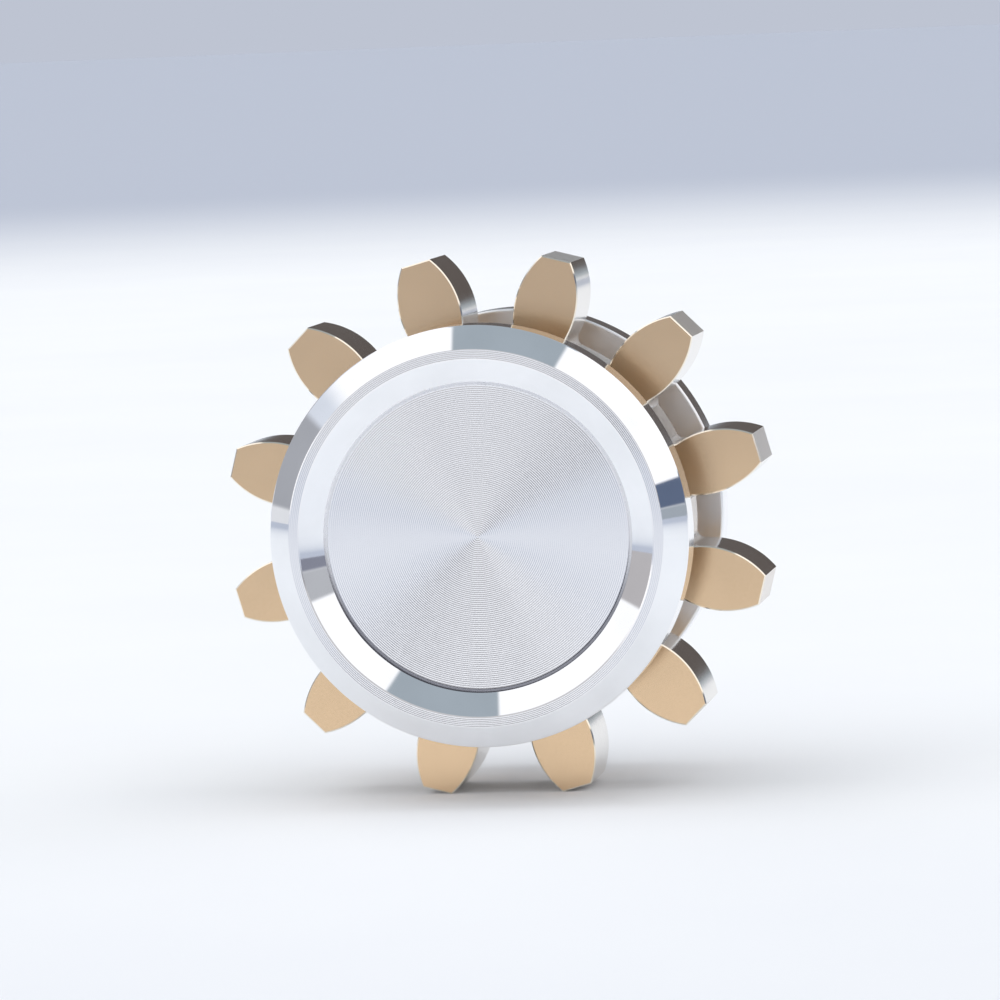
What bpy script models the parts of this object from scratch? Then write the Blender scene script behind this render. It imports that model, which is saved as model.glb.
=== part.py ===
"""Gear-shaped finger spinner: a twelve-tooth wheel on a small ball bearing between two turned finger caps.

Metres, +Z up. The spin axis is Y, through the origin, and the front cap faces -Y. The wheel stands on two of
its teeth, so the gap between them is straight below the origin.
"""

import math

import bmesh
import bpy

MM = 0.001
FIT_GAP = 0.02 * MM  # left between pieces that touch on the real object

# Toothed wheel
TEETH = 12
FIRST_TOOTH_ANGLE = math.radians(15)
TIP_RADIUS = 11.0 * MM
ROOT_RADIUS = 7.65 * MM
WHEEL_THICKNESS = 3.8 * MM
TOOTH_HALF_WIDTH = 1.25 * MM  # at its widest
TOOTH_WIDEST_RADIUS = 9.0 * MM
FLANK_RADIUS = 3.4 * MM
ROOT_FILLET = 0.35 * MM
WHEEL_EDGE = 0.1 * MM
FLANK_STEPS = 8
FILLET_STEPS = 3
ROOT_STEPS = 2

# Bearing, 1/4 inch bore by 1/2 inch by 1/8 inch
BEARING_OUTER_RADIUS = 6.35 * MM
BEARING_BORE_RADIUS = 3.175 * MM
BEARING_WIDTH = 3.175 * MM
BALLS = 10
BALL_RADIUS = 0.79375 * MM
PITCH_RADIUS = 4.7625 * MM
GROOVE_RADIUS = BALL_RADIUS + 0.026 * MM
SHOULDER = 0.3 * MM  # depth of each ball groove
RACE_EDGE = 0.12 * MM
RECESS_START = 1.05 * MM  # height above the middle plane where the shields' recess begins
OUTER_RECESS_RADIUS = 5.75 * MM
INNER_RECESS_RADIUS = 4.1 * MM
BEARING_LIP_RADIUS = 5.95 * MM

# Shields and the split rings that hold them
SHIELD_THICKNESS = 0.15 * MM
SHIELD_INNER_RADIUS = 4.22 * MM
CLIP_THICKNESS = 0.14 * MM
CLIP_INNER_RADIUS = 5.45 * MM
CLIP_GROOVE_DEPTH = 0.16 * MM
CLIP_OPENING = 0.9 * MM

# Ball cage
CAGE_INNER_RADIUS = 4.42 * MM
CAGE_OUTER_RADIUS = 5.1 * MM
CAGE_TOP = 1.0 * MM
CAGE_BOTTOM = -0.35 * MM
POCKET_RADIUS = BALL_RADIUS + 0.04 * MM

# Finger caps, heights measured from the wheel's middle plane
CAP_RADIUS = 8.35 * MM
CAP_UNDERSIDE = 4.75 * MM
CAP_WALL_TOP = 6.41 * MM
CAP_FACE = 7.27 * MM
LAND_OUTER_RADIUS = 7.46 * MM
LAND_INNER_RADIUS = 7.06 * MM
CONE_BOTTOM_RADIUS = 6.15 * MM
CONE_BOTTOM = 6.69 * MM
FLOOR_RADIUS = 6.03 * MM
FLOOR = 6.59 * MM
CAP_EDGE = 0.1 * MM
NECK_RADIUS = 3.75 * MM
NECK_FILLET = 0.5 * MM
SPIGOT_END = 0.05 * MM

# Threaded stud that pulls the caps together
STUD_RADIUS = 1.22 * MM
STUD_LENGTH = 9.6 * MM
STUD_EDGE = 0.2 * MM
STUD_HOLE_RADIUS = 1.25 * MM
STUD_HOLE_END = 5.2 * MM
DRILL_POINT = 0.6 * MM
SOCKET_ACROSS_FLATS = 1.3 * MM
SOCKET_DEPTH = 1.4 * MM

CAP_STEPS = 80
RACE_STEPS = 72
SMALL_STEPS = 64
STUD_STEPS = 48
BALL_SEGMENTS = 16
BALL_RINGS = 10
BALL_GROOVE_STEPS = 8
NECK_FILLET_STEPS = 4

FACING_FRONT = (math.radians(90), 0, 0)  # turns a shape's own +Z towards -Y
FACING_REAR = (math.radians(-90), 0, 0)


def clear_scene():
    for obj in list(bpy.data.objects):
        bpy.data.objects.remove(obj, do_unlink=True)


def new_collection(name, hidden=False):
    collection = bpy.data.collections.new(name)
    collection.hide_render = hidden
    bpy.context.scene.collection.children.link(collection)
    return collection


def metal(name, colour, roughness):
    material = bpy.data.materials.new(name)
    material.use_nodes = True
    shader = material.node_tree.nodes["Principled BSDF"]
    shader.inputs["Base Color"].default_value = (*colour, 1)
    shader.inputs["Metallic"].default_value = 1
    shader.inputs["Roughness"].default_value = roughness
    material.diffuse_color = (*colour, 1)
    return material


def add_object(name, mesh, collection, material=None, rotation=FACING_FRONT, location=(0, 0, 0)):
    obj = bpy.data.objects.new(name, mesh)
    obj.location = location
    obj.rotation_euler = rotation
    collection.objects.link(obj)
    if material:
        mesh.materials.append(material)
    return obj


def add_cutter(name, mesh, location=(0, 0, 0)):
    cutter = add_object(name, mesh, cutters, location=location)
    cutter.hide_render = True
    cutter.display_type = "WIRE"
    return cutter


def cut(obj, cutter):
    modifier = obj.modifiers.new(f"Cut {cutter.name}", "BOOLEAN")
    modifier.operation = "DIFFERENCE"
    modifier.solver = "EXACT"
    modifier.object = cutter


def arc(centre, radius, start, end, steps):
    """Points of an arc about centre, from the angle start to the angle end, both ends included."""
    points = []
    for step in range(steps + 1):
        angle = start + (end - start) * step / steps
        points.append((centre[0] + radius * math.cos(angle), centre[1] + radius * math.sin(angle)))
    return points


def profile_mesh(name, profile):
    """Edges through (radius, height) points. A profile that starts off the axis is closed into a ring."""
    mesh = bpy.data.meshes.new(name)
    points = [(radius, 0, height) for radius, height in profile]
    edges = [(index, index + 1) for index in range(len(points) - 1)]
    if profile[0][0] > 0:
        edges.append((len(points) - 1, 0))
    mesh.from_pydata(points, edges, [])
    return mesh


def turn(obj, steps):
    screw = obj.modifiers.new("Turned", "SCREW")
    screw.axis = "Z"
    screw.steps = steps
    screw.render_steps = steps
    screw.merge_threshold = 1e-6
    screw.use_merge_vertices = True
    screw.use_smooth_shade = False


def turned(name, profile, material, steps, rotation=FACING_FRONT):
    """A turned piece. The profile runs from top to bottom on its outer side."""
    obj = add_object(name, profile_mesh(name, profile), pieces, material, rotation)
    turn(obj, steps)
    return obj


def turned_cutter(name, profile, steps):
    cutter = add_cutter(name, profile_mesh(name, profile))
    turn(cutter, steps)
    return cutter


def fillet_centre():
    """The root fillet's centre, along and across the tooth: it touches the flank and the root circle."""
    flank_along = TOOTH_WIDEST_RADIUS
    flank_across = TOOTH_HALF_WIDTH - FLANK_RADIUS
    from_axis = ROOT_RADIUS + ROOT_FILLET
    from_flank = FLANK_RADIUS + ROOT_FILLET
    between = math.hypot(flank_along, flank_across)
    reach = (from_axis**2 - from_flank**2 + between**2) / (2 * between)
    side = math.sqrt(from_axis**2 - reach**2)
    return (
        (flank_along * reach - flank_across * side) / between,
        (flank_across * reach + flank_along * side) / between,
    )


def half_tooth():
    """(along, across) points from the root circle up the fillet and the flank to the tip's corner."""
    centre = fillet_centre()
    flank_centre = (TOOTH_WIDEST_RADIUS, TOOTH_HALF_WIDTH - FLANK_RADIUS)
    towards_flank = math.atan2(flank_centre[1] - centre[1], flank_centre[0] - centre[0])
    towards_axis = math.atan2(-centre[1], -centre[0])
    fillet = arc(centre, ROOT_FILLET, towards_axis + math.tau, towards_flank + math.tau, FILLET_STEPS)
    flank_start = math.atan2(centre[1] - flank_centre[1], centre[0] - flank_centre[0])
    flank_end = math.acos((TIP_RADIUS - TOOTH_WIDEST_RADIUS) / FLANK_RADIUS)
    return fillet + arc(flank_centre, FLANK_RADIUS, flank_start, flank_end, FLANK_STEPS)[1:]


def wheel_outline():
    side = half_tooth()
    root_angle = math.atan2(side[0][1], side[0][0])
    pitch = math.tau / TEETH
    outline = []
    for tooth in range(TEETH):
        turned_by = FIRST_TOOTH_ANGLE + tooth * pitch
        tooth_points = [(along, -across) for along, across in side] + side[::-1]
        root = arc((0, 0), ROOT_RADIUS, root_angle, pitch - root_angle, ROOT_STEPS)[1:-1]
        for along, across in tooth_points + root:
            outline.append((
                along * math.cos(turned_by) - across * math.sin(turned_by),
                along * math.sin(turned_by) + across * math.cos(turned_by),
            ))
    return outline


def make_wheel(material):
    mesh = bpy.data.meshes.new("gear_wheel")
    blank = bmesh.new()
    corners = [blank.verts.new((x, y, WHEEL_THICKNESS / 2)) for x, y in wheel_outline()]
    blank.faces.new(corners)
    blank.to_mesh(mesh)
    blank.free()
    wheel = add_object("gear_wheel", mesh, pieces, material)
    plate = wheel.modifiers.new("Thickness", "SOLIDIFY")
    plate.thickness = WHEEL_THICKNESS
    plate.offset = -1
    edge = wheel.modifiers.new("Edges", "BEVEL")
    edge.width = WHEEL_EDGE
    edge.segments = 1
    edge.limit_method = "ANGLE"
    edge.angle_limit = math.radians(70)
    top = WHEEL_THICKNESS
    seat = BEARING_OUTER_RADIUS + FIT_GAP
    seat_floor = -BEARING_WIDTH / 2 - FIT_GAP
    bore = turned_cutter("wheel_bore", [
        (0, top),
        (seat, top),
        (seat, seat_floor),
        (BEARING_LIP_RADIUS, seat_floor),
        (BEARING_LIP_RADIUS, -top),
        (0, -top),
    ], RACE_STEPS)
    cut(wheel, bore)


def groove(edge_radius):
    """The half angle of a ball groove whose edge is at edge_radius."""
    return math.acos(abs(edge_radius - PITCH_RADIUS) / GROOVE_RADIUS)


def make_outer_race(material):
    half = BEARING_WIDTH / 2
    land = PITCH_RADIUS + GROOVE_RADIUS - SHOULDER
    clip_low, clip_high = clip_heights()
    clip_groove = OUTER_RECESS_RADIUS + CLIP_GROOVE_DEPTH
    spread = groove(land)
    end = [
        (land, RECESS_START),
        (OUTER_RECESS_RADIUS, RECESS_START),
        (OUTER_RECESS_RADIUS, clip_low - FIT_GAP),
        (clip_groove, clip_low - FIT_GAP),
        (clip_groove, clip_high + FIT_GAP),
        (OUTER_RECESS_RADIUS, clip_high + FIT_GAP),
        (OUTER_RECESS_RADIUS, half),
        (BEARING_OUTER_RADIUS - RACE_EDGE, half),
        (BEARING_OUTER_RADIUS, half - RACE_EDGE),
    ]
    other_end = [(radius, -height) for radius, height in end[::-1]]
    ball_groove = arc((PITCH_RADIUS, 0), GROOVE_RADIUS, -spread, spread, BALL_GROOVE_STEPS)
    turned("outer_race", end + other_end + ball_groove, material, RACE_STEPS)


def make_inner_race(material):
    half = BEARING_WIDTH / 2
    land = PITCH_RADIUS - GROOVE_RADIUS + SHOULDER
    spread = groove(land)
    end = [
        (BEARING_BORE_RADIUS, half - RACE_EDGE),
        (BEARING_BORE_RADIUS + RACE_EDGE, half),
        (INNER_RECESS_RADIUS, half),
        (INNER_RECESS_RADIUS, RECESS_START),
        (land, RECESS_START),
    ]
    other_end = [(radius, -height) for radius, height in end[::-1]]
    ball_groove = arc(
        (PITCH_RADIUS, 0), GROOVE_RADIUS, math.pi - spread, math.pi + spread, BALL_GROOVE_STEPS
    )
    turned("inner_race", end + ball_groove + other_end, material, SMALL_STEPS)


def shield_heights():
    low = RECESS_START + 2 * FIT_GAP
    return low, low + SHIELD_THICKNESS


def clip_heights():
    low = shield_heights()[1] + FIT_GAP
    return low, low + CLIP_THICKNESS


def ring(inner, outer, low, high):
    return [(inner, high), (outer, high), (outer, low), (inner, low)]


def make_shield(name, material, rotation):
    low, high = shield_heights()
    outer = OUTER_RECESS_RADIUS - 2 * FIT_GAP
    turned(name, ring(SHIELD_INNER_RADIUS, outer, low, high), material, SMALL_STEPS, rotation)


def make_clip(name, material, rotation):
    """A split ring sprung into the outer race's groove, open at the top."""
    low, high = clip_heights()
    outer = OUTER_RECESS_RADIUS + CLIP_GROOVE_DEPTH - 2 * FIT_GAP
    clip = turned(name, ring(CLIP_INNER_RADIUS, outer, low, high), material, SMALL_STEPS, rotation)
    gap_mesh = bpy.data.meshes.new(f"{name}_opening")
    shape = bmesh.new()
    bmesh.ops.create_cube(shape, size=CLIP_OPENING)
    shape.to_mesh(gap_mesh)
    shape.free()
    middle = (low + high) / 2
    towards_front = 1 if rotation == FACING_FRONT else -1
    place = (0, -middle * towards_front, (CLIP_INNER_RADIUS + outer) / 2)
    cut(clip, add_cutter(gap_mesh.name, gap_mesh, location=place))


def ball_centres():
    """(index, (x, y, z)) of each ball: they are spread evenly round the Y axis."""
    for index in range(BALLS):
        angle = math.tau * index / BALLS
        yield index, (PITCH_RADIUS * math.cos(angle), 0, PITCH_RADIUS * math.sin(angle))


def make_balls(material):
    for index, centre in ball_centres():
        name = f"ball_{index + 1:02d}"
        mesh = bpy.data.meshes.new(name)
        shape = bmesh.new()
        bmesh.ops.create_uvsphere(
            shape, u_segments=BALL_SEGMENTS, v_segments=BALL_RINGS, radius=BALL_RADIUS
        )
        shape.to_mesh(mesh)
        shape.free()
        add_object(name, mesh, pieces, material, location=centre)


def make_cage(material):
    """A crown: a ring on one side of the balls, with pockets open towards the other side."""
    profile = ring(CAGE_INNER_RADIUS, CAGE_OUTER_RADIUS, CAGE_BOTTOM, CAGE_TOP)
    cage = turned("ball_cage", profile, material, SMALL_STEPS)
    mesh = bpy.data.meshes.new("cage_pockets")
    shape = bmesh.new()
    for _, centre in ball_centres():
        pocket = bmesh.ops.create_uvsphere(
            shape, u_segments=BALL_SEGMENTS, v_segments=BALL_RINGS, radius=POCKET_RADIUS
        )
        bmesh.ops.translate(shape, verts=pocket["verts"], vec=(centre[0], centre[2], 0))
    shape.to_mesh(mesh)
    shape.free()
    cut(cage, add_cutter("cage_pockets", mesh))


def cap_profile():
    shoulder = BEARING_WIDTH / 2 + FIT_GAP
    spigot = BEARING_BORE_RADIUS - FIT_GAP
    fillet_middle = (NECK_RADIUS + NECK_FILLET, CAP_UNDERSIDE - NECK_FILLET)
    fillet = arc(fillet_middle, NECK_FILLET, math.pi / 2, math.pi, NECK_FILLET_STEPS)
    return [
        (0, FLOOR),
        (FLOOR_RADIUS, FLOOR),
        (CONE_BOTTOM_RADIUS, CONE_BOTTOM),
        (LAND_INNER_RADIUS, CAP_FACE),
        (LAND_OUTER_RADIUS, CAP_FACE),
        (CAP_RADIUS, CAP_WALL_TOP),
        (CAP_RADIUS, CAP_UNDERSIDE + CAP_EDGE),
        (CAP_RADIUS - CAP_EDGE, CAP_UNDERSIDE),
        *fillet,
        (NECK_RADIUS, shoulder),
        (spigot, shoulder),
        (spigot, SPIGOT_END + CAP_EDGE),
        (spigot - CAP_EDGE, SPIGOT_END),
        (STUD_HOLE_RADIUS, SPIGOT_END),
        (STUD_HOLE_RADIUS, STUD_HOLE_END),
        (0, STUD_HOLE_END + DRILL_POINT),
    ]


def make_stud(material):
    half = STUD_LENGTH / 2
    stud = turned("cap_stud", [
        (0, half),
        (STUD_RADIUS - STUD_EDGE, half),
        (STUD_RADIUS, half - STUD_EDGE),
        (STUD_RADIUS, -half + STUD_EDGE),
        (STUD_RADIUS - STUD_EDGE, -half),
        (0, -half),
    ], material, STUD_STEPS)
    mesh = bpy.data.meshes.new("stud_socket")
    shape = bmesh.new()
    corner_radius = SOCKET_ACROSS_FLATS / math.sqrt(3)
    bmesh.ops.create_cone(
        shape, cap_ends=True, segments=6, depth=2 * SOCKET_DEPTH,
        radius1=corner_radius, radius2=corner_radius,
    )
    shape.to_mesh(mesh)
    shape.free()
    cut(stud, add_cutter("stud_socket", mesh, location=(0, -half, 0)))


def make_spinner():
    champagne = metal("champagne_gold", (0.62, 0.47, 0.31), 0.35)
    turned_aluminium = metal("turned_aluminium", (0.82, 0.83, 0.85), 0.22)
    bearing_steel = metal("bearing_steel", (0.62, 0.62, 0.63), 0.15)
    cage_steel = metal("cage_steel", (0.52, 0.52, 0.53), 0.35)
    dark_steel = metal("dark_steel", (0.2, 0.2, 0.21), 0.4)
    make_wheel(champagne)
    make_outer_race(bearing_steel)
    make_inner_race(bearing_steel)
    make_balls(bearing_steel)
    make_cage(cage_steel)
    turned("front_cap", cap_profile(), turned_aluminium, CAP_STEPS, FACING_FRONT)
    turned("rear_cap", cap_profile(), turned_aluminium, CAP_STEPS, FACING_REAR)
    for side, rotation in (("front", FACING_FRONT), ("rear", FACING_REAR)):
        make_shield(f"{side}_shield", cage_steel, rotation)
        make_clip(f"{side}_shield_clip", dark_steel, rotation)
    make_stud(dark_steel)


clear_scene()
pieces = new_collection("Gear spinner")
cutters = new_collection("Cutters", hidden=True)
make_spinner()
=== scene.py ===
import math

import bmesh
import bpy
from mathutils import Matrix, Vector


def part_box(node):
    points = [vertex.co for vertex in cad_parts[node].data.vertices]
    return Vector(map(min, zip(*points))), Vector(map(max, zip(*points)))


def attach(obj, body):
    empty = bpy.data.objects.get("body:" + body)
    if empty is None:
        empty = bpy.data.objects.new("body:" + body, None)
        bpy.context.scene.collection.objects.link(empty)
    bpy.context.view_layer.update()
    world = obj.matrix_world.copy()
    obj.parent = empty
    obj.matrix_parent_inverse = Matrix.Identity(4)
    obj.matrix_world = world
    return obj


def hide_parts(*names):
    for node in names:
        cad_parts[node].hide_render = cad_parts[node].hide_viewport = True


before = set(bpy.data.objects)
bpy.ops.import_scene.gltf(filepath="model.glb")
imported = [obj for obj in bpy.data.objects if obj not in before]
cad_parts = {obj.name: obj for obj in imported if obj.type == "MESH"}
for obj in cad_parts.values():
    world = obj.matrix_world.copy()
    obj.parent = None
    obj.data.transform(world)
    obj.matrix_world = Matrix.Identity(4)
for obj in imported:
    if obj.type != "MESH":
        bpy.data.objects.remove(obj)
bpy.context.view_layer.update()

MM = 0.001
FIT_GAP = 0.02 * MM  # between pieces that fit into each other
ROUNDING_STEPS = 6  # segments of a small rounding
FLAT_FACING = 0.95  # a normal's share along the axis: above this the face is a flat one
SLOPE_FACING = 0.3  # above this it is a chamfer or a bevel, and below it a side
TIP_FACING = 0.97  # a normal's share away from the axis: above this the side is a tooth's tip or a root

# Edges that turn by more than this, in degrees, stay sharp
MARKS_SHARP_FROM = 5  # each turning mark keeps its own facets
WHEEL_SHARP_FROM = 20
TURNED_SHARP_FROM = 25
CUT_SHARP_FROM = 30
BALL_SHARP_FROM = 40

# The frame: the spin axis is Y, the front cap faces -Y, and the wheel stands on two teeth.
wheel_low, wheel_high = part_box("gear_wheel")
cap_low, cap_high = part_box("front_cap")
_, race_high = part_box("outer_race")
_, stud_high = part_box("cap_stud")
ball_low, ball_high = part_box("ball_01")
FRONT, REAR = -1, 1  # which way along Y a turned piece's heights run

# Toothed wheel
TEETH = 12
FIRST_TOOTH_ANGLE = math.radians(15)
WHEEL_HALF = wheel_high.y
TIP_RADIUS = 11.0 * MM
ROOT_RADIUS = 7.65 * MM
TOOTH_HALF_WIDTH = 1.25 * MM  # at its widest
TOOTH_WIDEST_RADIUS = 9.0 * MM
FLANK_RADIUS = 3.4 * MM
ROOT_FILLET = 0.35 * MM
WHEEL_EDGE = 0.05 * MM
BEARING_LIP_RADIUS = 5.95 * MM
FLANK_STEPS = 20
FILLET_STEPS = 8
ROOT_STEPS = 6
BEVEL_FROM = math.radians(70)  # edges that turn by more than this are bevelled

# Caps, heights measured from the wheel's middle plane
CAP_RADIUS = cap_high.x
CAP_FACE = -cap_low.y
CAP_UNDERSIDE = 4.75 * MM
CAP_WALL_TOP = 6.41 * MM
LAND_OUTER = 7.46 * MM
LAND_INNER = 7.06 * MM
CONE_BOTTOM_RADIUS = 6.15 * MM
CONE_BOTTOM = 6.69 * MM
FLOOR_RADIUS = 6.03 * MM
FLOOR = 6.59 * MM
NECK_RADIUS = 3.75 * MM
NECK_FILLET = 0.5 * MM
CAP_EDGE = 0.1 * MM  # rounding under the rim and at the spigot's end
SHARP_EDGE = 0.03 * MM  # the small break on the turned edges
SPIGOT_END = 0.05 * MM
FLOOR_MARK_PITCH = 0.079 * MM
LAND_MARK_PITCH = 0.068 * MM
MARK_SLOPE = math.radians(4.5)
RELIEF_DEPTH = 0.07 * MM  # of the narrow groove round the dish's floor
GROOVE_SHADE_DARKEST_BELOW = -3.5 * MM  # painted shade in the groove: its metal is darkest below this height and brightens from it
GROOVE_SHADE_GONE_ABOVE = 0.5 * MM  # up to this one, above which no painted shade is left
CONE_SLOPE = 0.65  # height for each unit of radius, at the cone's top
RIM_SLOPE = 0.3  # the same where the flat ring starts to turn down to the chamfer
CAP_STEPS = 288  # round a cap
CAP_EDGE_STEPS = 5
NECK_FILLET_STEPS = 10
SPIGOT_EDGE_STEPS = 4

# Bearing
BEARING_HALF = race_high.y
BEARING_OUTER_RADIUS = race_high.x
BEARING_BORE_RADIUS = 3.175 * MM
PITCH_RADIUS = (ball_low.x + ball_high.x) / 2
BALL_RADIUS = (ball_high.x - ball_low.x) / 2
BALLS = 10
GROOVE_RADIUS = BALL_RADIUS + 0.026 * MM
SHOULDER = 0.3 * MM
RACE_EDGE = 0.12 * MM
RECESS_START = 1.05 * MM
OUTER_RECESS_RADIUS = 5.75 * MM
INNER_RECESS_RADIUS = 4.1 * MM
SHIELD_INNER_RADIUS = 4.22 * MM
SHIELD_STEP_RADIUS = 5.05 * MM
SHIELD_STEP = 0.03 * MM
SHIELD_LOW = RECESS_START + 2 * FIT_GAP
SHIELD_HIGH = SHIELD_LOW + 0.15 * MM
CLIP_LOW = SHIELD_HIGH + FIT_GAP
CLIP_HIGH = CLIP_LOW + 0.14 * MM
CLIP_INNER_RADIUS = 5.45 * MM
CLIP_GROOVE_RADIUS = OUTER_RECESS_RADIUS + 0.16 * MM
CLIP_OPENING = 0.9 * MM
CAGE_INNER_RADIUS = 4.42 * MM
CAGE_OUTER_RADIUS = 5.1 * MM
CAGE_TOP = 1.0 * MM
CAGE_BOTTOM = -0.35 * MM
POCKET_RADIUS = BALL_RADIUS + 0.04 * MM
RING_STEPS = 192  # round the bearing's rings
GROOVE_STEPS = 20
BALL_SUBDIVISIONS = 4

# Stud, M2.5 with a fine thread
STUD_HALF = stud_high.y
STUD_RADIUS = 1.22 * MM
STUD_HOLE_RADIUS = 1.25 * MM
STUD_HOLE_END = 5.2 * MM
DRILL_POINT = 0.6 * MM
THREAD_PITCH = 0.45 * MM
THREAD_DEPTH = 0.2 * MM
SOCKET_ACROSS_FLATS = 1.3 * MM
SOCKET_DEPTH = 1.4 * MM
THREAD_STEPS = 64  # round the stud
THREAD_ROWS = 10  # for each turn of the thread

# Camera
CAMERA_AZIMUTH = math.radians(9.15)
CAMERA_ELEVATION = math.radians(4.98)
CAMERA_ROLL = math.radians(-2.35)
CAMERA_DISTANCE = 0.25
CAMERA_LENS = 222.9
CAMERA_SENSOR = 36
CAMERA_NEAREST = 0.01
AIM_RIGHT = -0.15 * MM
AIM_UP = 0.88 * MM

# Studio, as patches of the sphere of directions round the object: colour, ranges of x, y and z, softness
STUDIO_WHITE = (1.15, 1.15, 1.17)
BACKDROP = (0.515, 0.552, 0.645)  # what the camera sees beyond the floor
EVERY = (-2, 2)
STUDIO_PATCHES = (
    ((0.385, 0.44, 0.49), (-0.25, 0.36), EVERY, (0, 2), 0.012),  # ceiling between two soft boxes
    ((0.60, 0.60, 0.62), (-0.6, 0.5), (-2, -0.6), (-0.1, 0.55), 0.03),  # the room in front
    ((0.30, 0.30, 0.32), (-0.22, 0.5), (-2, -0.6), (-0.1, 0.055), 0.012),  # dark furniture low in it
    ((0.74, 0.78, 0.86), (-2, -0.5), (-0.16, 2), (0.4, 0.6), 0.06),  # pale top of the left wall
    ((0.41, 0.42, 0.455), (-2, -0.6), (-0.16, 2), (0.055, 0.46), 0.02),  # left wall
    ((0.82, 0.83, 0.86), (-2, -0.6), (-0.16, 2), (-0.1, 0.055), 0.01),  # pale desk below it
    ((0.52, 0.50, 0.51), (-2, -0.6), (-0.5, -0.16), (-0.1, 0.25), 0.01),  # left wall's front end
    ((0.12, 0.155, 0.24), (0.6, 2), (-0.4, 2), (0.063, 0.212), 0.009),  # dark screen on the right
    ((0.38, 0.42, 0.47), (0.6, 2), (-0.4, 2), (-0.1, 0.063), 0.009),  # the desk below it
    ((0.50, 0.51, 0.54), (0.6, 2), (-0.75, -0.4), (0.07, 0.235), 0.012),  # the screen's lit front end
    ((0.25, 0.26, 0.32), (0.6, 2), (-0.75, -0.4), (-0.1, 0.07), 0.012),  # the shade below it
    ((0.12, 0.105, 0.10), (-0.6, 0.6), (0.6, 2), (0.03, 0.3), 0.02),  # dark room behind
)

# Floor
FLOOR_HALF_SIZE = 3
FLOOR_NEAR = ((0.88, 0.89, 0.91), (0.9, 0.91, 0.92))  # faint patches of these two
FLOOR_PATCH_SCALE = 40
FLOOR_FAR = (0.47, 0.505, 0.59)
FLOOR_ROUGHNESS = 0.8
FLOOR_SHINE = 0.2
FLOOR_FADE_CENTRE = (0, 0.23, 0)
FLOOR_FADE_START = 0.2
FLOOR_FADE_END = 0.54

# Soft light
SUN_STRENGTH = 1.1
SUN_ANGLE = math.radians(100)  # its apparent width
SUN_FROM = (-0.2, -0.5, 1)

# Metals: colour, roughness
TURNED_ALUMINIUM = ((0.95, 0.945, 0.955), 0.12)
BRIGHT_CHAMFER = ((0.92, 0.93, 0.95), 0.04)
SOFT_ALUMINIUM = ((0.95, 0.95, 0.96), 0.38)
TOOLED_GROOVE = ((0.95, 0.95, 0.96), 0.3)
GROOVE_PAINTED_SHADE = (0.33, 0.33, 0.36)  # painted shade: the same metal's colour low in the dish, standing in for the shadow in the groove there
CHAMPAGNE_GOLD = ((0.86, 0.62, 0.39), 0.22)
CUT_FLANKS = ((0.84, 0.80, 0.75), 0.13)
TURNED_TIPS = ((0.87, 0.82, 0.77), 0.36)
BRIGHT_EDGES = ((0.97, 0.89, 0.76), 0.12)
GROUND_STEEL = ((0.62, 0.62, 0.63), 0.13)
POLISHED_STEEL = ((0.66, 0.66, 0.67), 0.05)
PRESSED_STEEL = ((0.52, 0.52, 0.53), 0.3)
BLACK_OXIDE = ((0.12, 0.12, 0.13), 0.38)
NOISE_LOW, NOISE_HIGH = 0.3, 0.7  # most of a noise texture lies between these
GRAIN_SHARE = 0.15  # how far the grain moves a roughness either way
BUMP_HEIGHT = 0.004 * MM
CUT_LINE_BUMP = 0.25
CUT_LINE_SCALE = 5000
CUT_LINE_STRETCH = 0.02  # of the noise along Y, so that its grain draws out into lines


# --- meshes ---


def arc(centre, radius, start, end, steps):
    """Points of an arc about centre, from the angle start to the angle end, both ends included."""
    points = []
    for step in range(steps + 1):
        angle = start + (end - start) * step / steps
        points.append((centre[0] + radius * math.cos(angle), centre[1] + radius * math.sin(angle)))
    return points


def finished_mesh(shape, name, sharp_degrees):
    bmesh.ops.recalc_face_normals(shape, faces=shape.faces)
    mesh = bpy.data.meshes.new(name)
    shape.to_mesh(mesh)
    shape.free()
    mesh.shade_smooth()
    mesh.set_sharp_from_angle(angle=math.radians(sharp_degrees))
    return mesh


def turned_mesh(name, profile, steps=RING_STEPS, side=FRONT, sharp_degrees=TURNED_SHARP_FROM, opening=0):
    """A closed shape turned about Y from (radius, height) points. An opening, an angle centred on +Z,
    leaves a split ring."""
    shape = bmesh.new()
    start = (math.pi + opening) / 2
    sweep = math.tau - opening
    stations = steps + 1 if opening else steps
    rings = []
    for radius, height in profile:
        ring = []
        for station in range(stations if radius else 1):
            angle = start + sweep * station / steps
            ring.append(shape.verts.new((radius * math.cos(angle), side * height, radius * math.sin(angle))))
        rings.append(ring)
    pairs = list(zip(rings, rings[1:]))
    if len(rings[0]) > 1:
        pairs.append((rings[-1], rings[0]))
    for upper, lower in pairs:
        for step in range(steps):
            after = (step + 1) % stations
            corners = [upper[step % len(upper)], upper[after % len(upper)]]
            corners += [lower[after % len(lower)], lower[step % len(lower)]]
            shape.faces.new(list(dict.fromkeys(corners)))
    if opening:
        shape.faces.new([ring[0] for ring in rings])
        shape.faces.new([ring[-1] for ring in rings])
    return finished_mesh(shape, name, sharp_degrees)


def helper_object(name, mesh):
    helper = bpy.data.objects.new(name, mesh)
    bpy.context.scene.collection.objects.link(helper)
    return helper


def add_cut(obj, cutter):
    cut = obj.modifiers.new("Cut", "BOOLEAN")
    cut.operation = "DIFFERENCE"
    cut.solver = "EXACT"
    cut.object = cutter


def applied_mesh(name, obj, *cutters):
    """The mesh that obj's modifiers make. The helper objects are removed."""
    bpy.context.view_layer.update()
    graph = bpy.context.evaluated_depsgraph_get()
    mesh = bpy.data.meshes.new_from_object(obj.evaluated_get(graph))
    mesh.name = name
    for helper in (obj, *cutters):
        bpy.data.objects.remove(helper)
    return mesh


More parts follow.
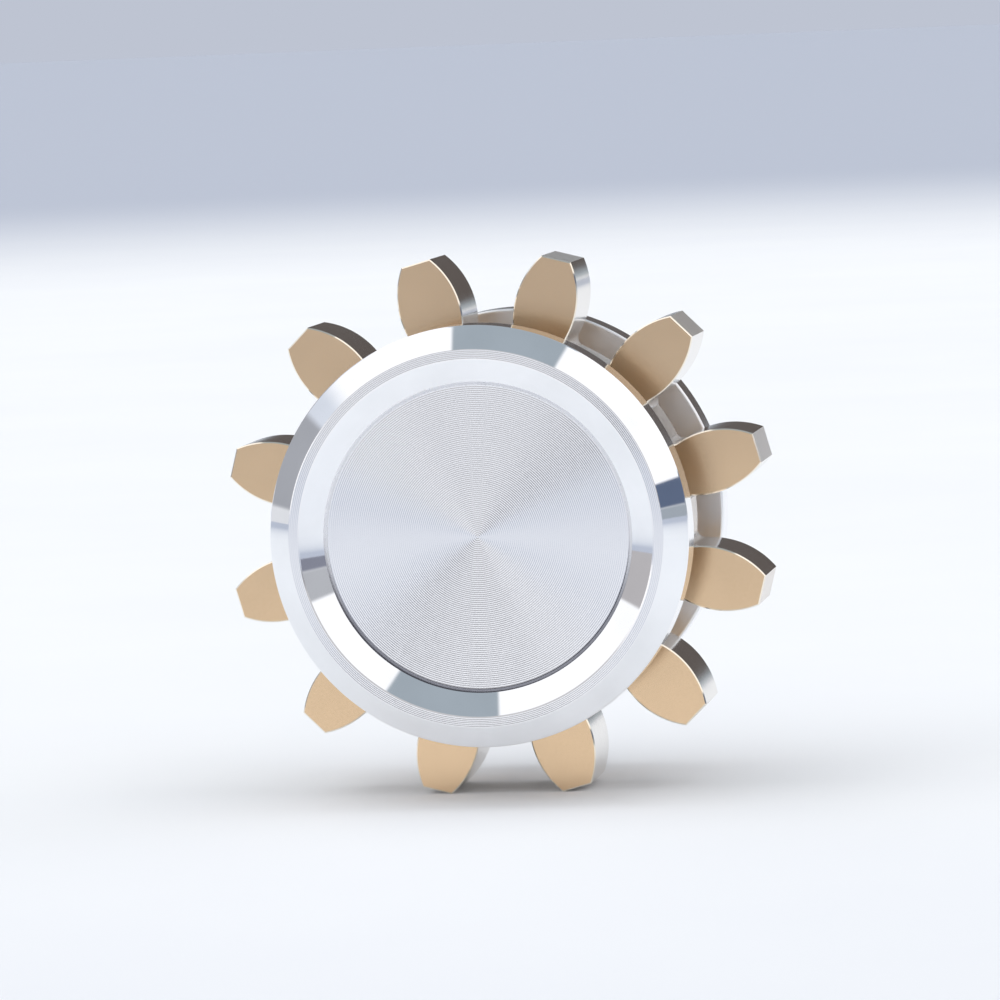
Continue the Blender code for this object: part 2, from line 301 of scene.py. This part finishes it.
def add_piece(name, mesh, body, materials, replaced):
    mesh.materials.clear()
    for material in materials:
        mesh.materials.append(material)
    piece = bpy.data.objects.new(name, mesh)
    bpy.context.scene.collection.objects.link(piece)
    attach(piece, body)
    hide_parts(replaced)


# --- materials ---


def add_node(tree, kind, **settings):
    node = tree.nodes.new(kind)
    for key, value in settings.items():
        if key in node.inputs:
            node.inputs[key].default_value = value
        else:
            setattr(node, key, value)
    return node


def colour_ramp(tree, factor, stops):
    ramp = tree.nodes.new("ShaderNodeValToRGB")
    elements = ramp.color_ramp.elements
    while len(elements) < len(stops):
        elements.new(0.5)
    for element, (position, colour) in zip(elements, stops):
        element.position = position
        element.color = (*colour, 1)
    tree.links.new(factor, ramp.inputs["Fac"])
    return ramp.outputs["Color"]


def noise(tree, coordinates, scale, detail):
    texture = add_node(tree, "ShaderNodeTexNoise", Scale=scale, Detail=detail)
    tree.links.new(coordinates, texture.inputs["Vector"])
    return texture.outputs["Fac"]


def map_range(tree, value, low, high, to_low, to_high, kind="LINEAR"):
    node = add_node(tree, "ShaderNodeMapRange", interpolation_type=kind)
    for key, number in (("From Min", low), ("From Max", high), ("To Min", to_low), ("To Max", to_high)):
        node.inputs[key].default_value = number
    tree.links.new(value, node.inputs["Value"])
    return node.outputs["Result"]


def metal(name, colour, roughness, shade=0.93, patch_scale=450, grain_scale=4000):
    """Metal with faint cloudy patches in its colour and a fine grain in its roughness."""
    material = bpy.data.materials.new(name)
    material.use_nodes = True
    tree = material.node_tree
    shader = tree.nodes["Principled BSDF"]
    shader.inputs["Metallic"].default_value = 1
    place = add_node(tree, "ShaderNodeTexCoord").outputs["Object"]
    patches = noise(tree, place, patch_scale, 4)
    stops = [(NOISE_LOW, [part * shade for part in colour]), (NOISE_HIGH, colour)]
    tree.links.new(colour_ramp(tree, patches, stops), shader.inputs["Base Color"])
    grain = noise(tree, place, grain_scale, 3)
    spread = GRAIN_SHARE * roughness
    varied = map_range(tree, grain, NOISE_LOW, NOISE_HIGH, roughness - spread, roughness + spread)
    tree.links.new(varied, shader.inputs["Roughness"])
    return material, tree, shader, grain


def turned_metal(name, colour, roughness, anisotropy):
    """Lathe-turned metal: its highlights stretch across the turning marks, away from the axis."""
    material, tree, shader, _ = metal(name, colour, roughness, shade=0.97, patch_scale=250)
    shader.inputs["Anisotropic"].default_value = anisotropy
    shader.inputs["Anisotropic Rotation"].default_value = 0.25
    tangent = add_node(tree, "ShaderNodeTangent", direction_type="RADIAL", axis="Y")
    tree.links.new(tangent.outputs["Tangent"], shader.inputs["Tangent"])
    return material


def painted_shade_groove_metal(name, dark, bright, roughness):
    """Metal with painted shade: dark in the lower half of the groove round the dish's floor, and bright
    above, standing in for the shadow that falls in the groove's lower half.
    """
    material, tree, shader, _ = metal(name, bright, roughness)
    place = add_node(tree, "ShaderNodeSeparateXYZ")
    tree.links.new(add_node(tree, "ShaderNodeTexCoord").outputs["Object"], place.inputs["Vector"])
    # painted shade: darker towards the bottom, by height in the cap's own coordinates
    lit = map_range(tree, place.outputs["Z"], GROOVE_SHADE_DARKEST_BELOW, GROOVE_SHADE_GONE_ABOVE, 0, 1, "SMOOTHSTEP")
    tree.links.new(colour_ramp(tree, lit, [(0, dark), (1, bright)]), shader.inputs["Base Color"])
    return material


def satin_metal(name, colour, roughness, bump):
    """Fine blasted metal."""
    material, tree, shader, grain = metal(
        name, colour, roughness, shade=0.92, patch_scale=300, grain_scale=9000
    )
    relief = add_node(tree, "ShaderNodeBump", Strength=bump, Distance=BUMP_HEIGHT)
    tree.links.new(grain, relief.inputs["Height"])
    tree.links.new(relief.outputs["Normal"], shader.inputs["Normal"])
    return material


def polished_metal(name, colour, roughness):
    return metal(name, colour, roughness)[0]


def wire_cut_metal(name, colour, roughness):
    """Polished metal with fine lines along Y, the way a wire or a broach cuts."""
    material, tree, shader, _ = metal(name, colour, roughness)
    stretch = add_node(tree, "ShaderNodeMapping")
    stretch.inputs["Scale"].default_value = (1, CUT_LINE_STRETCH, 1)
    place = add_node(tree, "ShaderNodeTexCoord").outputs["Object"]
    tree.links.new(place, stretch.inputs["Vector"])
    lines = noise(tree, stretch.outputs["Vector"], CUT_LINE_SCALE, 2)
    relief = add_node(tree, "ShaderNodeBump", Strength=CUT_LINE_BUMP, Distance=BUMP_HEIGHT)
    tree.links.new(lines, relief.inputs["Height"])
    tree.links.new(relief.outputs["Normal"], shader.inputs["Normal"])
    return material


# --- caps ---


def turning_marks(outer, inner, height, pitch):
    """V-shaped turning marks on a flat face, from the outer radius in to the inner one."""
    count = max(1, round((outer - inner) / pitch))
    step = (outer - inner) / count
    depth = step / 2 * math.tan(MARK_SLOPE)
    points = []
    for index in range(count):
        radius = outer - index * step
        points.append((radius, height))
        points.append((radius - step / 2, height - depth))
    points.append((inner, height))
    return points


def cap_profile():
    """From the middle of the dish out over the rim, down the wall, in to the neck and spigot, and up the
    hole for the stud."""
    edge_middle = (CAP_RADIUS - CAP_EDGE, CAP_UNDERSIDE + CAP_EDGE)
    fillet_middle = (NECK_RADIUS + NECK_FILLET, CAP_UNDERSIDE - NECK_FILLET)
    spigot = BEARING_BORE_RADIUS - FIT_GAP
    end_middle = (spigot - CAP_EDGE, SPIGOT_END + CAP_EDGE)
    shoulder = BEARING_HALF + FIT_GAP
    return (
        turning_marks(FLOOR_RADIUS - SHARP_EDGE, 0, FLOOR, FLOOR_MARK_PITCH)[::-1]
        + [
            (FLOOR_RADIUS, FLOOR - RELIEF_DEPTH),
            (CONE_BOTTOM_RADIUS - SHARP_EDGE, FLOOR - RELIEF_DEPTH),
            (CONE_BOTTOM_RADIUS, CONE_BOTTOM),
            (LAND_INNER - SHARP_EDGE, CAP_FACE - CONE_SLOPE * SHARP_EDGE),
        ]
        + turning_marks(LAND_OUTER - SHARP_EDGE, LAND_INNER + SHARP_EDGE, CAP_FACE, LAND_MARK_PITCH)[::-1]
        + [
            (LAND_OUTER, CAP_FACE - RIM_SLOPE * SHARP_EDGE),
            (LAND_OUTER + SHARP_EDGE, CAP_FACE - (1 + RIM_SLOPE) * SHARP_EDGE),
            (CAP_RADIUS - SHARP_EDGE, CAP_WALL_TOP + SHARP_EDGE),
            (CAP_RADIUS, CAP_WALL_TOP - SHARP_EDGE),
        ]
        + arc(edge_middle, CAP_EDGE, 0, -math.pi / 2, CAP_EDGE_STEPS)
        + arc(fillet_middle, NECK_FILLET, math.pi / 2, math.pi, NECK_FILLET_STEPS)
        + [(NECK_RADIUS, shoulder), (spigot, shoulder)]
        + arc(end_middle, CAP_EDGE, 0, -math.pi / 2, SPIGOT_EDGE_STEPS)
        + [
            (STUD_HOLE_RADIUS, SPIGOT_END),
            (STUD_HOLE_RADIUS, STUD_HOLE_END),
            (0, STUD_HOLE_END + DRILL_POINT),
        ]
    )


def make_caps():
    turned = turned_metal("turned_aluminium", *TURNED_ALUMINIUM, anisotropy=0.6)
    bright = polished_metal("bright_chamfer", *BRIGHT_CHAMFER)
    soft = turned_metal("soft_turned_aluminium", *SOFT_ALUMINIUM, anisotropy=0.4)
    # the groove round the dish's floor gets painted shade in its lower half
    groove = painted_shade_groove_metal("groove_painted_shade", GROOVE_PAINTED_SHADE, *TOOLED_GROOVE)
    for name, side in (("front_cap", FRONT), ("rear_cap", REAR)):
        mesh = turned_mesh(f"{name}_turned", cap_profile(), CAP_STEPS, side, MARKS_SHARP_FROM)
        add_piece(f"{name}_turned", mesh, "caps", (turned, bright, soft, groove), name)
        for polygon in mesh.polygons:
            height = abs(polygon.center.y)
            radius = math.hypot(polygon.center.x, polygon.center.z)
            if FLOOR_RADIUS - SHARP_EDGE < radius < CONE_BOTTOM_RADIUS and height > CAP_UNDERSIDE:
                polygon.material_index = 3
            elif height > FLOOR and SLOPE_FACING < abs(polygon.normal.y) < FLAT_FACING:
                polygon.material_index = 1
            elif height < CAP_UNDERSIDE + CAP_EDGE:
                polygon.material_index = 2


# --- wheel ---


def fillet_centre():
    """The root fillet's centre, along and across the tooth: it touches the flank and the root circle."""
    along = TOOTH_WIDEST_RADIUS
    across = TOOTH_HALF_WIDTH - FLANK_RADIUS
    from_axis = ROOT_RADIUS + ROOT_FILLET
    from_flank = FLANK_RADIUS + ROOT_FILLET
    between = math.hypot(along, across)
    reach = (from_axis**2 - from_flank**2 + between**2) / (2 * between)
    side = math.sqrt(from_axis**2 - reach**2)
    return (along * reach - across * side) / between, (across * reach + along * side) / between


def half_tooth():
    """(along, across) points from the root circle up the fillet and the flank to the tip's corner."""
    centre = fillet_centre()
    flank = (TOOTH_WIDEST_RADIUS, TOOTH_HALF_WIDTH - FLANK_RADIUS)
    to_flank = math.atan2(flank[1] - centre[1], flank[0] - centre[0]) + math.tau
    to_axis = math.atan2(-centre[1], -centre[0]) + math.tau
    start = math.atan2(centre[1] - flank[1], centre[0] - flank[0])
    end = math.acos((TIP_RADIUS - TOOTH_WIDEST_RADIUS) / FLANK_RADIUS)
    fillet = arc(centre, ROOT_FILLET, to_axis, to_flank, FILLET_STEPS)
    return fillet + arc(flank, FLANK_RADIUS, start, end, FLANK_STEPS)[1:]


def wheel_outline():
    side = half_tooth()
    root_angle = math.atan2(side[0][1], side[0][0])
    pitch = math.tau / TEETH
    root = arc((0, 0), ROOT_RADIUS, root_angle, pitch - root_angle, ROOT_STEPS)[1:-1]
    outline = []
    for tooth in range(TEETH):
        turn = FIRST_TOOTH_ANGLE + tooth * pitch
        for along, across in [(a, -b) for a, b in side] + side[::-1] + root:
            outline.append((
                along * math.cos(turn) - across * math.sin(turn),
                along * math.sin(turn) + across * math.cos(turn),
            ))
    return outline


def wheel_mesh():
    blank = bmesh.new()
    blank.faces.new([blank.verts.new((x, -WHEEL_HALF, z)) for x, z in wheel_outline()])
    mesh = bpy.data.meshes.new("wheel_blank")
    blank.to_mesh(mesh)
    blank.free()
    wheel = helper_object("wheel_blank", mesh)
    plate = wheel.modifiers.new("Thickness", "SOLIDIFY")
    plate.thickness = 2 * WHEEL_HALF
    plate.offset = -1
    edge = wheel.modifiers.new("Edges", "BEVEL")
    edge.width = WHEEL_EDGE
    edge.segments = 1
    edge.limit_method = "ANGLE"
    edge.angle_limit = BEVEL_FROM
    beyond = 2 * WHEEL_HALF
    seat = BEARING_OUTER_RADIUS + FIT_GAP
    seat_floor = -BEARING_HALF - FIT_GAP
    bore = helper_object("wheel_bore", turned_mesh("wheel_bore", [
        (0, beyond),
        (seat, beyond),
        (seat, seat_floor),
        (BEARING_LIP_RADIUS, seat_floor),
        (BEARING_LIP_RADIUS, -beyond),
        (0, -beyond),
    ]))
    add_cut(wheel, bore)
    return applied_mesh("wheel_cut", wheel, bore)


def make_wheel():
    face = satin_metal("champagne_gold", *CHAMPAGNE_GOLD, bump=0.1)
    flank = wire_cut_metal("cut_flanks", *CUT_FLANKS)
    tip = wire_cut_metal("turned_tips", *TURNED_TIPS)
    edge = polished_metal("bright_edges", *BRIGHT_EDGES)
    mesh = wheel_mesh()
    add_piece("wheel_cut", mesh, "wheel", (face, flank, tip, edge), "gear_wheel")
    for polygon in mesh.polygons:
        facing = abs(polygon.normal.y)
        if facing > FLAT_FACING:
            polygon.material_index = 0
        elif facing > SLOPE_FACING:
            polygon.material_index = 3
        elif polygon.center.normalized().dot(polygon.normal) > TIP_FACING:
            polygon.material_index = 2
        else:
            polygon.material_index = 1
    mesh.shade_smooth()
    mesh.set_sharp_from_angle(angle=math.radians(WHEEL_SHARP_FROM))


# --- bearing and stud ---


def groove_arc(edge_radius, outwards):
    """The ball groove's arc, between shoulders at edge_radius."""
    spread = math.acos(abs(edge_radius - PITCH_RADIUS) / GROOVE_RADIUS)
    middle = 0 if outwards else math.pi
    return arc((PITCH_RADIUS, 0), GROOVE_RADIUS, middle - spread, middle + spread, GROOVE_STEPS)


def mirrored(points):
    return [(radius, -height) for radius, height in points[::-1]]


def outer_race_profile():
    shoulder = PITCH_RADIUS + GROOVE_RADIUS - SHOULDER
    corner = (BEARING_OUTER_RADIUS - RACE_EDGE, BEARING_HALF - RACE_EDGE)
    end = [
        (shoulder, RECESS_START),
        (OUTER_RECESS_RADIUS, RECESS_START),
        (OUTER_RECESS_RADIUS, CLIP_LOW - FIT_GAP),
        (CLIP_GROOVE_RADIUS, CLIP_LOW - FIT_GAP),
        (CLIP_GROOVE_RADIUS, CLIP_HIGH + FIT_GAP),
        (OUTER_RECESS_RADIUS, CLIP_HIGH + FIT_GAP),
        (OUTER_RECESS_RADIUS, BEARING_HALF),
        *arc(corner, RACE_EDGE, math.pi / 2, 0, ROUNDING_STEPS),
    ]
    return end + mirrored(end) + groove_arc(shoulder, outwards=True)


def inner_race_profile():
    shoulder = PITCH_RADIUS - GROOVE_RADIUS + SHOULDER
    corner = (BEARING_BORE_RADIUS + RACE_EDGE, BEARING_HALF - RACE_EDGE)
    end = [
        *arc(corner, RACE_EDGE, math.pi, math.pi / 2, ROUNDING_STEPS),
        (INNER_RECESS_RADIUS, BEARING_HALF),
        (INNER_RECESS_RADIUS, RECESS_START),
        (shoulder, RECESS_START),
    ]
    return end + groove_arc(shoulder, outwards=False) + mirrored(end)


def shield_profile():
    """Pressed sheet with a shallow step."""
    outer = OUTER_RECESS_RADIUS - 2 * FIT_GAP
    run = 3 * SHIELD_STEP
    return [
        (SHIELD_INNER_RADIUS, SHIELD_HIGH - SHIELD_STEP),
        (SHIELD_STEP_RADIUS, SHIELD_HIGH - SHIELD_STEP),
        (SHIELD_STEP_RADIUS + run, SHIELD_HIGH),
        (outer, SHIELD_HIGH),
        (outer, SHIELD_LOW),
        (SHIELD_STEP_RADIUS + run, SHIELD_LOW),
        (SHIELD_STEP_RADIUS, SHIELD_LOW - SHIELD_STEP),
        (SHIELD_INNER_RADIUS, SHIELD_LOW - SHIELD_STEP),
    ]


def clip_profile():
    outer = CLIP_GROOVE_RADIUS - 2 * FIT_GAP
    return [
        (CLIP_INNER_RADIUS, CLIP_HIGH),
        (outer, CLIP_HIGH),
        (outer, CLIP_LOW),
        (CLIP_INNER_RADIUS, CLIP_LOW),
    ]


def ball_centres():
    for index in range(BALLS):
        angle = math.tau * index / BALLS
        yield f"ball_{index + 1:02d}", Vector((math.cos(angle), 0, math.sin(angle))) * PITCH_RADIUS


def ball_mesh(name, centres, radius):
    shape = bmesh.new()
    for centre in centres:
        ball = bmesh.ops.create_icosphere(shape, subdivisions=BALL_SUBDIVISIONS, radius=radius)
        bmesh.ops.translate(shape, verts=ball["verts"], vec=centre)
    return finished_mesh(shape, name, BALL_SHARP_FROM)


def cage_mesh():
    """A crown: a ring on the front of the balls, with pockets open towards the rear."""
    blank = turned_mesh("cage_blank", [
        (CAGE_INNER_RADIUS, CAGE_TOP),
        (CAGE_OUTER_RADIUS, CAGE_TOP),
        (CAGE_OUTER_RADIUS, CAGE_BOTTOM),
        (CAGE_INNER_RADIUS, CAGE_BOTTOM),
    ])
    pockets = ball_mesh("cage_pockets", [centre for _, centre in ball_centres()], POCKET_RADIUS)
    cage = helper_object("cage_blank", blank)
    cutter = helper_object("cage_pockets", pockets)
    add_cut(cage, cutter)
    mesh = applied_mesh("cage_crown", cage, cutter)
    mesh.set_sharp_from_angle(angle=math.radians(CUT_SHARP_FROM))
    return mesh


def thread_radius(turns, from_end):
    """The radius where the helix has made that many turns, easing out to a plain chamfer at each end."""
    crest = 2 * abs(turns % 1 - 0.5)
    depth = THREAD_DEPTH * crest
    return min(STUD_RADIUS - depth, STUD_RADIUS - THREAD_DEPTH + from_end)


def stud_mesh():
    """A stud threaded from end to end, with a hexagonal socket in its front."""
    rows = round(2 * STUD_HALF / THREAD_PITCH * THREAD_ROWS)
    shape = bmesh.new()
    rings = []
    for row in range(rows + 1):
        place = -STUD_HALF + 2 * STUD_HALF * row / rows
        ring = []
        for step in range(THREAD_STEPS):
            radius = thread_radius(place / THREAD_PITCH - step / THREAD_STEPS, STUD_HALF - abs(place))
            angle = math.tau * step / THREAD_STEPS
            ring.append(shape.verts.new((radius * math.cos(angle), place, radius * math.sin(angle))))
        rings.append(ring)
    for lower, upper in zip(rings, rings[1:]):
        for step in range(THREAD_STEPS):
            after = (step + 1) % THREAD_STEPS
            shape.faces.new((lower[step], lower[after], upper[after], upper[step]))
    shape.faces.new(rings[0])
    shape.faces.new(rings[-1])
    stud = helper_object("stud_blank", finished_mesh(shape, "stud_blank", CUT_SHARP_FROM))
    hexagon = bmesh.new()
    corner = SOCKET_ACROSS_FLATS / math.sqrt(3)
    bmesh.ops.create_cone(
        hexagon, cap_ends=True, segments=6, radius1=corner, radius2=corner, depth=2 * SOCKET_DEPTH,
        matrix=Matrix.Translation((0, -STUD_HALF, 0)) @ Matrix.Rotation(math.pi / 2, 4, "X"),
    )
    socket = helper_object("stud_socket", finished_mesh(hexagon, "stud_socket", CUT_SHARP_FROM))
    add_cut(stud, socket)
    mesh = applied_mesh("stud_threaded", stud, socket)
    mesh.set_sharp_from_angle(angle=math.radians(CUT_SHARP_FROM))
    return mesh


def make_bearing():
    ground = turned_metal("ground_steel", *GROUND_STEEL, anisotropy=0.5)
    polished = polished_metal("polished_steel", *POLISHED_STEEL)
    pressed = satin_metal("pressed_steel", *PRESSED_STEEL, bump=0.1)
    black = satin_metal("black_oxide", *BLACK_OXIDE, bump=0.15)
    for name, body, profile in (
        ("outer_race", "wheel", outer_race_profile()),
        ("inner_race", "caps", inner_race_profile()),
    ):
        mesh = turned_mesh(f"{name}_ground", profile)
        add_piece(f"{name}_ground", mesh, body, (ground,), name)
    opening = CLIP_OPENING / CLIP_INNER_RADIUS
    for end, side in (("front", FRONT), ("rear", REAR)):
        shield = turned_mesh(f"{end}_shield_pressed", shield_profile(), side=side)
        add_piece(shield.name, shield, "wheel", (pressed,), f"{end}_shield")
        clip = turned_mesh(f"{end}_clip_split", clip_profile(), side=side, opening=opening)
        add_piece(clip.name, clip, "wheel", (black,), f"{end}_shield_clip")
    for name, centre in ball_centres():
        mesh = ball_mesh(f"{name}_polished", [centre], BALL_RADIUS)
        add_piece(f"{name}_polished", mesh, name, (polished,), name)
    add_piece("cage_crown", cage_mesh(), "cage", (pressed,), "ball_cage")
    add_piece("stud_threaded", stud_mesh(), "caps", (black,), "cap_stud")


# --- camera, floor and light ---


def make_camera():
    towards = Vector((
        math.sin(CAMERA_AZIMUTH) * math.cos(CAMERA_ELEVATION),
        -math.cos(CAMERA_AZIMUTH) * math.cos(CAMERA_ELEVATION),
        math.sin(CAMERA_ELEVATION),
    ))
    level = Vector((0, 0, 1)).cross(towards).normalized()
    right = math.cos(CAMERA_ROLL) * level + math.sin(CAMERA_ROLL) * towards.cross(level)
    up = towards.cross(right)
    place = CAMERA_DISTANCE * towards
    back = (place - AIM_RIGHT * right - AIM_UP * up).normalized()
    side = up.cross(back).normalized()
    data = bpy.data.cameras.new("Camera")
    data.lens = CAMERA_LENS
    data.sensor_width = CAMERA_SENSOR
    data.clip_start = CAMERA_NEAREST
    camera = helper_object("Camera", data)
    turn = Matrix((side, back.cross(side), back)).transposed().to_4x4()
    camera.matrix_world = Matrix.Translation(place) @ turn
    bpy.context.scene.camera = camera


def make_floor():
    """A pale floor that fades to the backdrop's colour far away."""
    shape = bmesh.new()
    bmesh.ops.create_grid(shape, x_segments=1, y_segments=1, size=FLOOR_HALF_SIZE)
    bmesh.ops.translate(shape, verts=shape.verts, vec=(0, 0, wheel_low.z))
    mesh = bpy.data.meshes.new("Floor")
    shape.to_mesh(mesh)
    shape.free()
    material = bpy.data.materials.new("pale_floor")
    material.use_nodes = True
    tree = material.node_tree
    shader = tree.nodes["Principled BSDF"]
    place = add_node(tree, "ShaderNodeTexCoord").outputs["Object"]
    patches = noise(tree, place, FLOOR_PATCH_SCALE, 3)
    pale = colour_ramp(tree, patches, list(zip((NOISE_LOW, NOISE_HIGH), FLOOR_NEAR)))
    distance = add_node(tree, "ShaderNodeVectorMath", operation="DISTANCE")
    tree.links.new(place, distance.inputs[0])
    distance.inputs[1].default_value = FLOOR_FADE_CENTRE
    far = map_range(tree, distance.outputs["Value"], FLOOR_FADE_START, FLOOR_FADE_END, 0, 1, "SMOOTHSTEP")
    tree.links.new(paint(tree, pale, FLOOR_FAR, far), shader.inputs["Base Color"])
    shader.inputs["Roughness"].default_value = FLOOR_ROUGHNESS
    shader.inputs["Specular IOR Level"].default_value = FLOOR_SHINE
    mesh.materials.append(material)
    helper_object("Floor", mesh)


def product(tree, first, second):
    node = add_node(tree, "ShaderNodeMath", operation="MULTIPLY")
    tree.links.new(first, node.inputs[0])
    tree.links.new(second, node.inputs[1])
    return node.outputs["Value"]


def band(tree, value, low, high, soft):
    """1 where value lies between low and high, with soft edges."""
    rise = map_range(tree, value, low - soft, low + soft, 0, 1, "SMOOTHSTEP")
    fall = map_range(tree, value, high - soft, high + soft, 1, 0, "SMOOTHSTEP")
    return product(tree, rise, fall)


def paint(tree, under, colour, mask):
    mix = add_node(tree, "ShaderNodeMix", data_type="RGBA")
    tree.links.new(mask, mix.inputs["Factor"])
    tree.links.new(under, mix.inputs["A"])
    mix.inputs["B"].default_value = (*colour, 1)
    return mix.outputs["Result"]


def make_studio():
    world = bpy.data.worlds.new("Studio")
    bpy.context.scene.world = world
    world.use_nodes = True
    tree = world.node_tree
    direction = add_node(tree, "ShaderNodeSeparateXYZ")
    tree.links.new(add_node(tree, "ShaderNodeTexCoord").outputs["Generated"], direction.inputs["Vector"])
    white = add_node(tree, "ShaderNodeRGB")
    white.outputs[0].default_value = (*STUDIO_WHITE, 1)
    colour = white.outputs[0]
    for patch, *ranges, soft in STUDIO_PATCHES:
        bands = [band(tree, direction.outputs[axis], *ends, soft) for axis, ends in zip("XYZ", ranges)]
        colour = paint(tree, colour, patch, product(tree, product(tree, bands[0], bands[1]), bands[2]))
    seen = add_node(tree, "ShaderNodeLightPath").outputs["Is Camera Ray"]
    tree.links.new(paint(tree, colour, BACKDROP, seen), tree.nodes["Background"].inputs["Color"])


def make_lights():
    """Wide soft light from above and in front, for the floor: mirrors don't show it."""
    data = bpy.data.lights.new("Overhead", "SUN")
    data.angle = SUN_ANGLE
    data.energy = SUN_STRENGTH
    light = helper_object("Overhead", data)
    light.rotation_euler = Vector(SUN_FROM).to_track_quat("Z", "Y").to_euler()
    light.visible_glossy = False


def main():
    make_camera()
    make_caps()
    make_wheel()
    make_bearing()
    make_floor()
    make_studio()
    make_lights()
    bpy.context.scene.view_settings.view_transform = "Standard"


main()
